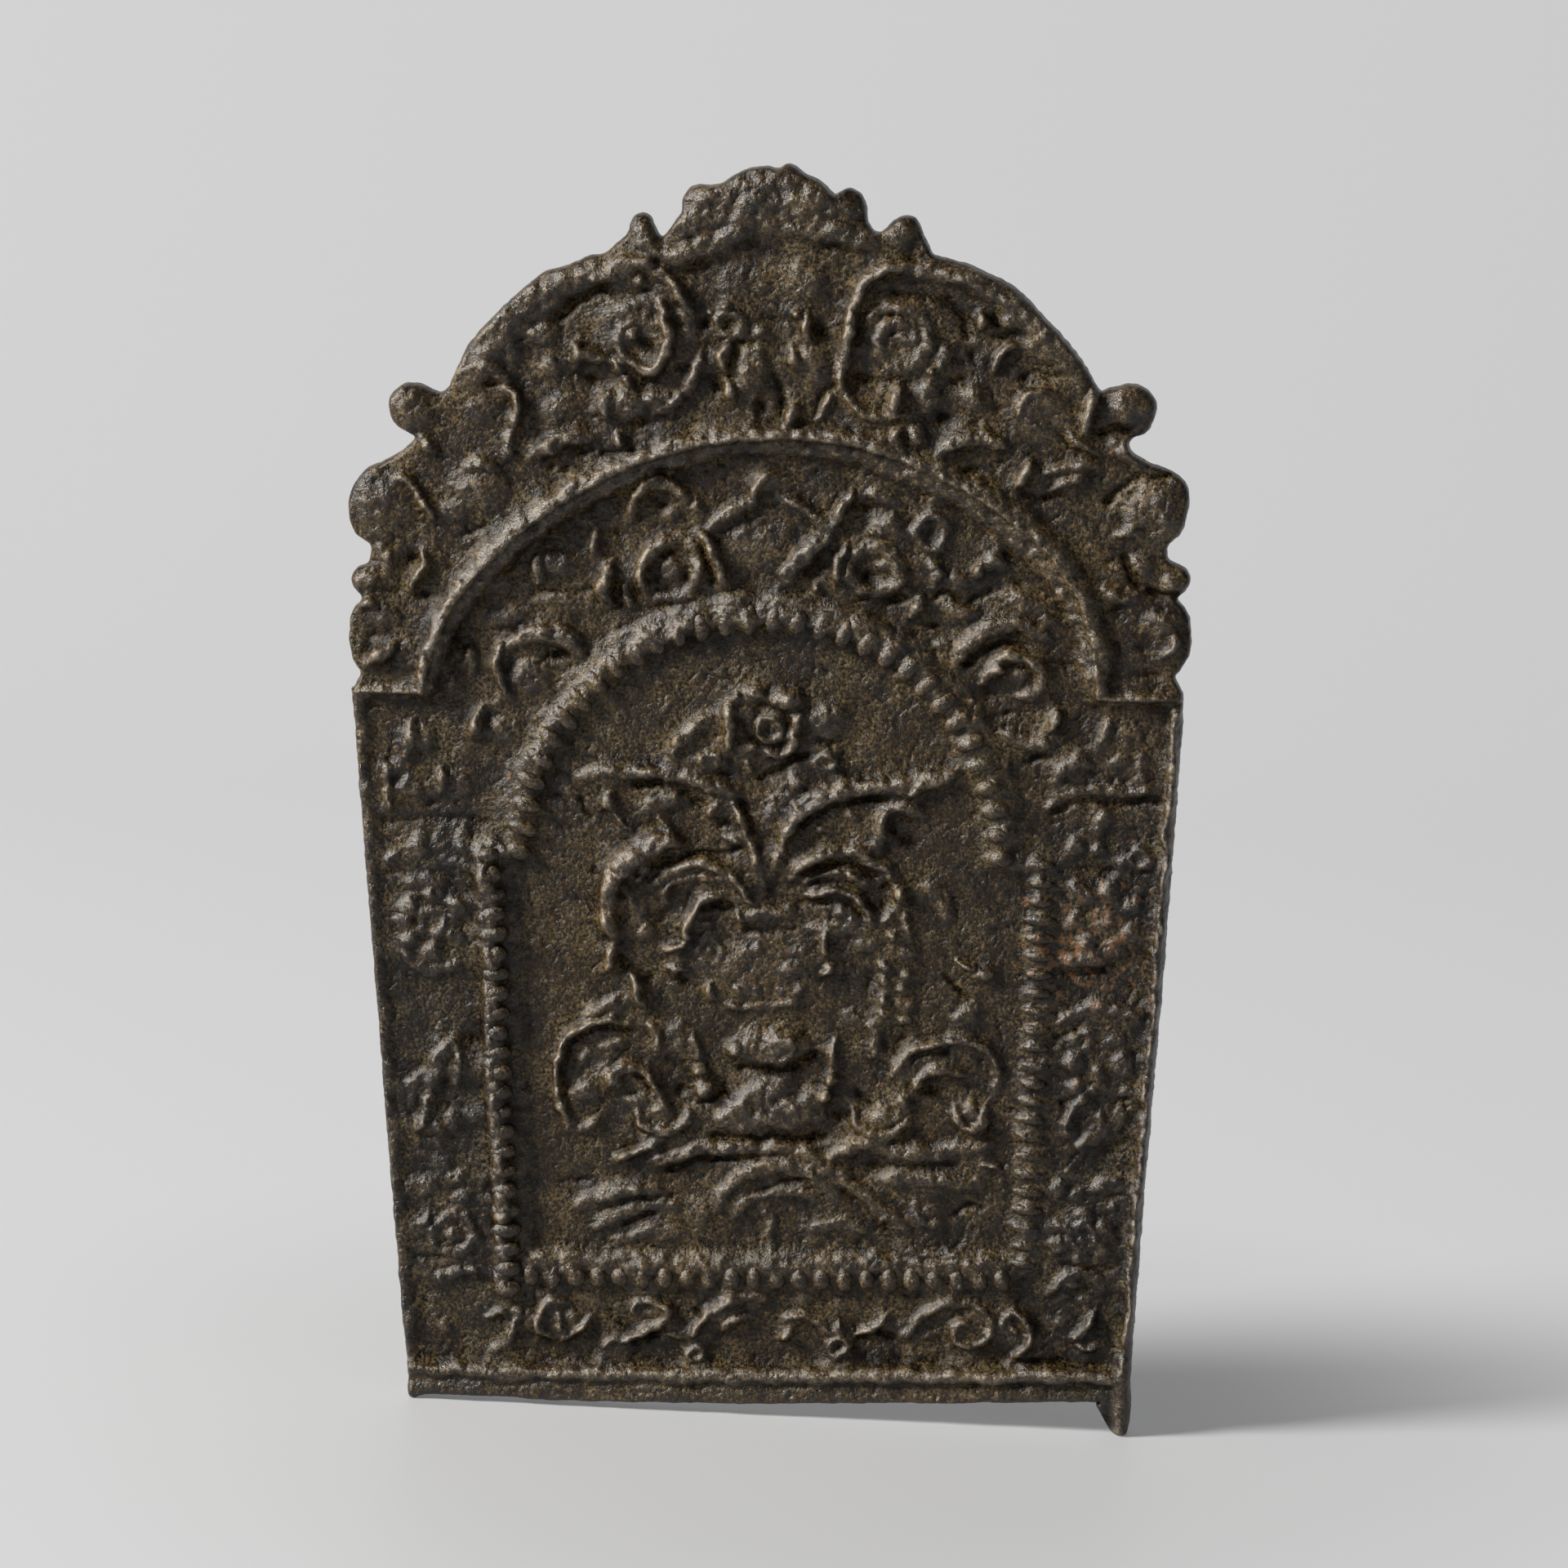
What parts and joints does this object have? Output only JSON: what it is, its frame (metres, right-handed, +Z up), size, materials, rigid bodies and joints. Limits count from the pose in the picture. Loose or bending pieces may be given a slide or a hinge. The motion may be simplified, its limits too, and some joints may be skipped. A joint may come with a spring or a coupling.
{
  "type": "fireback",
  "caption": "Small arched cast-iron fireback with a scrolled crest, a beaded frame round a vase of flowers, ornamented side panels and one foot.",
  "frame": {"origin": "middle of the bounding box in X and Y, at the tip of the foot in Z", "axes": "+X to the viewer's right, +Y to the back, +Z up along the plate"},
  "size_m": [0.1028, 0.006, 0.1565],
  "materials": {
    "cast_iron": "rough sand-cast skin, dark brown-grey with a dull sheen, dust and specks of rust"
  },
  "bodies": {
    "root": {"field_plate": "cast_iron", "crest_plate": "cast_iron", "rim_left": "cast_iron", "rim_right": "cast_iron", "base_moulding": "cast_iron", "foot_right": "cast_iron", "foot_stub_left": "cast_iron", "ledge_left": "cast_iron", "ledge_right": "cast_iron", "arch_moulding": "cast_iron", "bead_arch": "cast_iron", "rib_column_left": "cast_iron", "rib_column_right": "cast_iron", "bead_row": "cast_iron", "cresting_shell": "cast_iron", "volute_left": "cast_iron", "volute_right": "cast_iron", "plumes": "cast_iron", "crest_leaves_left": "cast_iron", "crest_leaves_right": "cast_iron", "lobe_scrolls_left": "cast_iron", "lobe_scrolls_right": "cast_iron", "spandrel_tulip": "cast_iron", "spandrel_rosette_left": "cast_iron", "spandrel_rosette_right": "cast_iron", "spandrel_buds_left": "cast_iron", "spandrel_buds_right": "cast_iron", "rose_left": "cast_iron", "rose_right": "cast_iron", "top_flower": "cast_iron", "long_leaves": "cast_iron", "palm_left": "cast_iron", "palm_right": "cast_iron", "branch_left": "cast_iron", "branch_right": "cast_iron", "vase_bowl": "cast_iron", "vase_lip": "cast_iron", "vase_knop": "cast_iron", "vase_bell": "cast_iron", "vase_handle_left": "cast_iron", "vase_handle_right": "cast_iron", "scroll_left": "cast_iron", "scroll_right": "cast_iron", "ground": "cast_iron", "side_buds_left": "cast_iron", "side_buds_right": "cast_iron", "side_rosette_left": "cast_iron", "side_rosette_right": "cast_iron", "husk_left": "cast_iron", "husk_right": "cast_iron", "low_rosette_left": "cast_iron", "low_rosette_right": "cast_iron", "frieze_left": "cast_iron", "frieze_right": "cast_iron", "frieze_volutes": "cast_iron"}
  },
  "joints": []
}
